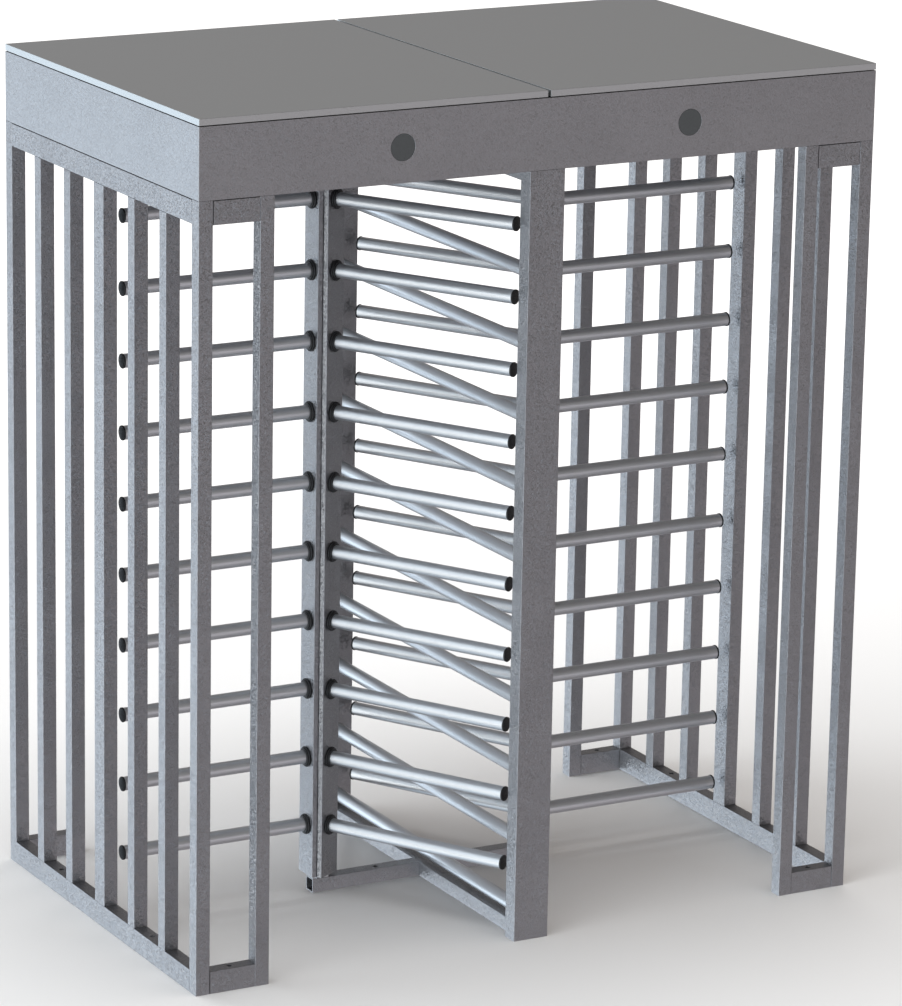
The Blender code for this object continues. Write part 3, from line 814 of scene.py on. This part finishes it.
class TURNSTILE_OT_header(bpy.types.Operator):
    """Fascias, side panels, lids and lamps of the header"""

    bl_idname = "turnstile.header"
    bl_label = "Header"

    def execute(self, context):
        settings = context.scene.turnstile_header
        sheet = sheet_steel()
        for node in ("header_front", "header_back", "left_header_panel", "right_header_panel",
                     "lid_bridge", "left_header_floor", "right_header_floor"):
            piece(f"{node}_sheet", softened(node, settings.fold), sheet, FRAME_BODY, "satin_steel", node)
        for side in SIDES:
            # The lids take the lighter copy of the sheet steel, which paints the light falling on their
            # top faces.
            self.lid(side, settings, cover_steel())
            coat(frame["nodes"][f"{side}_lamp"].data, lamp_lens())
        return {"FINISHED"}

    def lid(self, side, settings, sheet):
        node = f"{side}_lid"
        low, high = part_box(node)
        bm = bmesh.new()
        rounded_box(bm, low, high, settings.edge)
        wall = settings.wall
        pocket = bmesh.new()
        inside_low, inside_high = low + Vector((wall, wall, -0.01)), high - Vector((wall, wall, wall))
        rounded_box(pocket, inside_low, inside_high, settings.edge / 2)
        mesh = cut(bm, pocket, node)
        piece(f"{node}_tray", mesh, sheet, f"{side}_cover", "cover_steel", node)


# ---------------------------------------------------------------- mechanism


class TURNSTILE_OT_mechanism(bpy.types.Operator):
    """Finishes of the parts inside the header, with their screws"""

    bl_idname = "turnstile.mechanism"
    bl_label = "Mechanism"

    def execute(self, context):
        settings = context.scene.turnstile_header
        cases = (("top_bearing", cast_iron, "cast_housing"), ("gear_motor", motor_paint, "motor_paint"))
        for side in SIDES:
            for name in ("bottom_pivot", "drive_gear", "lock_disc", "motor_pinion", "lock_pawl"):
                coat(frame["nodes"][f"{side}_{name}"].data, machined_steel())
            for name, finish, slot in cases:
                node = f"{side}_{name}"
                piece(f"{node}_case", softened(node, settings.fold), finish(), FRAME_BODY, slot, node)
            self.screws(side, settings)
        shell = softened("control_box", settings.fold)
        piece("control_box_case", shell, grey_casing(), FRAME_BODY, "control_casing", "control_box")
        return {"FINISHED"}

    def screws(self, side, settings):
        radius = settings.screw
        low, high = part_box(f"{side}_top_bearing")
        middle = (low + high) / 2
        bm = bmesh.new()
        bmesh.ops.create_cone(
            bm, cap_ends=True, segments=6, radius1=radius, radius2=radius, depth=SCREW_DEPTH
        )
        bmesh.ops.bevel(bm, geom=list(bm.edges), offset=SCREW_CHAMFER, segments=1, affect="EDGES")
        place = Matrix.Translation((middle.x, middle.y, low.z + settings.flange + SCREW_LIFT))
        steel = machined_steel()
        mesh = repeated(
            bm, ring_tree(), place, Count=4, Radius=settings.screw_circle, Turn=math.radians(45),
            Finish=steel,
        )
        piece(f"{side}_bearing_screws", mesh, steel, FRAME_BODY, "machined_steel")


# ---------------------------------------------------------------- stage


def surroundings(nodes, links, direction, sides, heights):
    """What bright metal mirrors, by direction: colours from left to right, dimmed from low to high."""
    split = nodes.new("ShaderNodeSeparateXYZ")
    across = nodes.new("ShaderNodeMapRange")
    across.inputs["From Min"].default_value = -1.0
    steep = operated(nodes, "ShaderNodeMath", "ABSOLUTE")
    side, height = nodes.new("ShaderNodeValToRGB"), nodes.new("ShaderNodeValToRGB")
    paint_ramp(side.color_ramp, sides)
    paint_ramp(height.color_ramp, heights)
    both = nodes.new("ShaderNodeMix")
    both.data_type = "RGBA"
    both.blend_type = "MULTIPLY"
    both.inputs["Factor"].default_value = 1.0
    links.new(direction, split.inputs[0])
    links.new(split.outputs["X"], across.inputs["Value"])
    links.new(across.outputs["Result"], side.inputs["Fac"])
    links.new(split.outputs["Z"], steep.inputs[0])
    links.new(steep.outputs["Value"], height.inputs["Fac"])
    links.new(side.outputs["Color"], both.inputs["A"])
    links.new(height.outputs["Color"], both.inputs["B"])
    return both.outputs["Result"]


def paint_ramp(ramp, stops):
    """Sets a ramp from (position, colour) pairs that run from 0 to 1."""
    ramp.elements[0].color, ramp.elements[1].color = (*stops[0][1], 1), (*stops[-1][1], 1)
    for position, shade in stops[1:-1]:
        ramp.elements.new(position).color = (*shade, 1)


# What the metal mirrors: a strength, then colours from left to right and dimming by steepness.
MIRRORED = 2.4
FLOOR_SIDES = (
    (0.0, (0.98, 1.00, 1.00)), (0.05, (0.96, 1.00, 1.00)), (0.25, (0.76, 0.92, 1.08)),
    (0.40, (0.45, 0.49, 0.53)), (0.525, (0.33, 0.315, 0.33)), (0.725, (0.335, 0.315, 0.332)),
    (1.0, (0.20, 0.19, 0.19)),
)
ROOM_SIDES = (
    (0.0, (0.76, 0.83, 0.88)), (0.10, (0.70, 0.78, 0.85)), (0.22, (0.25, 0.28, 0.31)),
    (0.375, (0.19, 0.20, 0.22)), (0.50, (0.15, 0.148, 0.148)), (0.725, (0.120, 0.114, 0.112)),
    (1.0, (0.10, 0.09, 0.085)),
)
# The floor's dimming for steeper downward directions is painted shade beneath the gate, as seen in the
# metal's reflections.
FLOOR_HEIGHTS = (
    (0.0, (1.0, 1.0, 1.0)), (0.50, (0.75, 0.75, 0.75)), (0.75, (0.40, 0.40, 0.40)),
    (1.0, (0.35, 0.34, 0.33)),
)
ROOM_HEIGHTS = (
    (0.0, (1.0, 1.0, 1.0)), (0.55, (1.0, 1.0, 1.0)), (0.75, (0.62, 0.61, 0.60)),
    (1.0, (0.58, 0.56, 0.55)),
)
SIDE_BOUNCE = ((0.0, (0.27, 0.29, 0.31)), (1.0, (0.52, 0.42, 0.34)))
FLOOR_HALF = 60.0
FLOOR_GLOW = 0.80
AWAY = (0.46, 0.89, 0.0)
SENSOR = 36.0
SHIFT = 0.1004


class TURNSTILE_OT_stage(bpy.types.Operator):
    """Pale floor, soft studio light and the camera"""

    bl_idname = "turnstile.stage"
    bl_label = "Stage"

    def execute(self, context):
        settings = context.scene.turnstile_stage
        self.camera(context, settings)
        self.floor(settings)
        self.light()
        self.world(context)
        context.scene.view_settings.view_transform = "Standard"
        return {"FINISHED"}

    def camera(self, context, settings):
        turn, tilt, roll = (math.radians(v) for v in settings.heading)
        level = math.cos(tilt)
        forward = Vector((-math.sin(turn) * level, math.cos(turn) * level, math.sin(tilt)))
        right = Vector((math.cos(turn), math.sin(turn), 0))
        up = right.cross(forward)
        across = math.cos(roll) * right + math.sin(roll) * up
        over = -math.sin(roll) * right + math.cos(roll) * up
        data = bpy.data.cameras.new("studio_camera")
        data.lens, data.sensor_width = settings.lens, SENSOR
        data.shift_x = SHIFT
        data.clip_end = 200.0
        obj = bpy.data.objects.new("studio_camera", data)
        place = Matrix((across, over, -forward)).transposed().to_4x4()
        place.translation = Vector(settings.camera)
        obj.matrix_world = place
        context.scene.collection.objects.link(obj)
        context.scene.camera = obj

    def floor(self, settings):
        bm = bmesh.new()
        bmesh.ops.create_grid(bm, x_segments=1, y_segments=1, size=FLOOR_HALF)
        obj = worker(bm, "studio_floor")
        material = bpy.data.materials.new("studio_floor")
        material.use_nodes = True
        nodes, links = material.node_tree.nodes, material.node_tree.links
        shader = nodes["Principled BSDF"]
        shader.inputs["Base Color"].default_value = (*settings.floor, 1.0)
        shader.inputs["Roughness"].default_value = 0.75
        shader.inputs["Specular IOR Level"].default_value = 0.2
        coords = nodes.new("ShaderNodeTexCoord")
        shader.inputs["Emission Color"].default_value = (1.0, 1.0, 1.0, 1.0)
        along = operated(nodes, "ShaderNodeVectorMath", "DOT_PRODUCT")
        along.inputs[1].default_value = AWAY
        reach = operated(nodes, "ShaderNodeVectorMath", "LENGTH")
        fade, rim = self.fade(nodes, 0.5, 9.0), self.fade(nodes, 6.0, 16.0)
        most = operated(nodes, "ShaderNodeMath", "MAXIMUM")
        links.new(coords.outputs["Object"], along.inputs[0])
        links.new(coords.outputs["Object"], reach.inputs[0])
        links.new(along.outputs["Value"], fade.inputs["Value"])
        links.new(reach.outputs["Value"], rim.inputs["Value"])
        links.new(fade.outputs["Result"], most.inputs[0])
        links.new(rim.outputs["Result"], most.inputs[1])
        links.new(most.outputs["Value"], shader.inputs["Emission Strength"])
        # For glossy rays the floor is swapped for an emission coloured by direction. This is a painted
        # reflection for the metal, and it includes painted shade under the gate.
        facing = nodes.new("ShaderNodeNewGeometry")
        outward = operated(nodes, "ShaderNodeVectorMath", "SCALE")
        outward.inputs["Scale"].default_value = -1.0
        glow = nodes.new("ShaderNodeEmission")
        seen = nodes.new("ShaderNodeLightPath")
        mix = nodes.new("ShaderNodeMixShader")
        glow.inputs["Strength"].default_value = MIRRORED
        links.new(facing.outputs["Incoming"], outward.inputs[0])
        mirrored = surroundings(nodes, links, outward.outputs["Vector"], FLOOR_SIDES, FLOOR_HEIGHTS)
        links.new(mirrored, glow.inputs["Color"])
        links.new(seen.outputs["Is Glossy Ray"], mix.inputs["Fac"])
        links.new(shader.outputs["BSDF"], mix.inputs[1])
        links.new(glow.outputs["Emission"], mix.inputs[2])
        links.new(mix.outputs["Shader"], nodes["Material Output"].inputs["Surface"])
        obj.data.materials.append(material)

    def fade(self, nodes, start, end):
        """Brightens the floor from one distance to another until it meets the white backdrop."""
        fade = nodes.new("ShaderNodeMapRange")
        fade.interpolation_type = "SMOOTHSTEP"
        fade.inputs["From Min"].default_value = start
        fade.inputs["From Max"].default_value = end
        fade.inputs["To Max"].default_value = FLOOR_GLOW
        return fade

    def light(self):
        data = bpy.data.lights.new("upper_light", "AREA")
        data.size, data.energy, data.color = 7.0, 1030.0, (0.95, 0.98, 1.0)
        obj = bpy.data.objects.new("upper_light", data)
        obj.location = (-0.9, 0.2, 10.0)
        obj.rotation_euler = (-obj.location).to_track_quat("-Z", "Y").to_euler()
        obj.visible_camera = False
        obj.visible_glossy = False
        bpy.context.scene.collection.objects.link(obj)

    def world(self, context):
        world = bpy.data.worlds.new("studio")
        context.scene.world = world
        world.use_nodes = True
        nodes, links = world.node_tree.nodes, world.node_tree.links
        coords = nodes.new("ShaderNodeTexCoord")
        glossy = nodes["Background"]
        glossy.inputs["Strength"].default_value = MIRRORED
        mirrored = surroundings(nodes, links, coords.outputs["Generated"], ROOM_SIDES, ROOM_HEIGHTS)
        links.new(mirrored, glossy.inputs["Color"])
        soft, white = nodes.new("ShaderNodeBackground"), nodes.new("ShaderNodeBackground")
        split, across = nodes.new("ShaderNodeSeparateXYZ"), nodes.new("ShaderNodeMapRange")
        across.inputs["From Min"].default_value = -1.0
        bounce = nodes.new("ShaderNodeValToRGB")
        paint_ramp(bounce.color_ramp, SIDE_BOUNCE)
        links.new(coords.outputs["Generated"], split.inputs[0])
        links.new(split.outputs["X"], across.inputs["Value"])
        links.new(across.outputs["Result"], bounce.inputs["Fac"])
        links.new(bounce.outputs["Color"], soft.inputs["Color"])
        white.inputs["Color"].default_value = (1, 1, 1, 1)
        seen = nodes.new("ShaderNodeLightPath")
        spread, mix = nodes.new("ShaderNodeMixShader"), nodes.new("ShaderNodeMixShader")
        links.new(seen.outputs["Is Diffuse Ray"], spread.inputs["Fac"])
        links.new(glossy.outputs["Background"], spread.inputs[1])
        links.new(soft.outputs["Background"], spread.inputs[2])
        links.new(seen.outputs["Is Camera Ray"], mix.inputs["Fac"])
        links.new(spread.outputs["Shader"], mix.inputs[1])
        links.new(white.outputs["Background"], mix.inputs[2])
        links.new(mix.outputs["Shader"], nodes["World Output"].inputs["Surface"])


# ---------------------------------------------------------------- panel and registration


class TURNSTILE_PT_panel(bpy.types.Panel):
    bl_idname = "TURNSTILE_PT_panel"
    bl_label = "Turnstile"
    bl_space_type = "VIEW_3D"
    bl_region_type = "UI"
    bl_category = "Turnstile"

    def draw(self, context):
        for name in SETTINGS:
            group = getattr(context.scene, name)
            box = self.layout.box()
            for key in group.bl_rna.properties.keys():
                if key not in {"rna_type", "name"}:
                    box.prop(group, key)
        for operator in OPERATORS:
            self.layout.operator(operator.bl_idname)


SETTINGS = {
    "turnstile_tube": TubeSettings,
    "turnstile_arm": ArmSettings,
    "turnstile_header": HeaderSettings,
    "turnstile_stage": StageSettings,
}
OPERATORS = (
    TURNSTILE_OT_stage,
    TURNSTILE_OT_fences,
    TURNSTILE_OT_centre,
    TURNSTILE_OT_rotors,
    TURNSTILE_OT_header,
    TURNSTILE_OT_mechanism,
)


def register():
    for cls in (*SETTINGS.values(), *OPERATORS, TURNSTILE_PT_panel):
        bpy.utils.register_class(cls)
    for name, cls in SETTINGS.items():
        setattr(bpy.types.Scene, name, PointerProperty(type=cls))


def unregister():
    for name in SETTINGS:
        delattr(bpy.types.Scene, name)
    for cls in reversed((*SETTINGS.values(), *OPERATORS, TURNSTILE_PT_panel)):
        bpy.utils.unregister_class(cls)


def main():
    register()
    bpy.ops.turnstile.stage()
    bpy.ops.turnstile.fences()
    bpy.ops.turnstile.centre()
    bpy.ops.turnstile.rotors()
    bpy.ops.turnstile.header()
    bpy.ops.turnstile.mechanism()


if __name__ == "__main__":
    main()
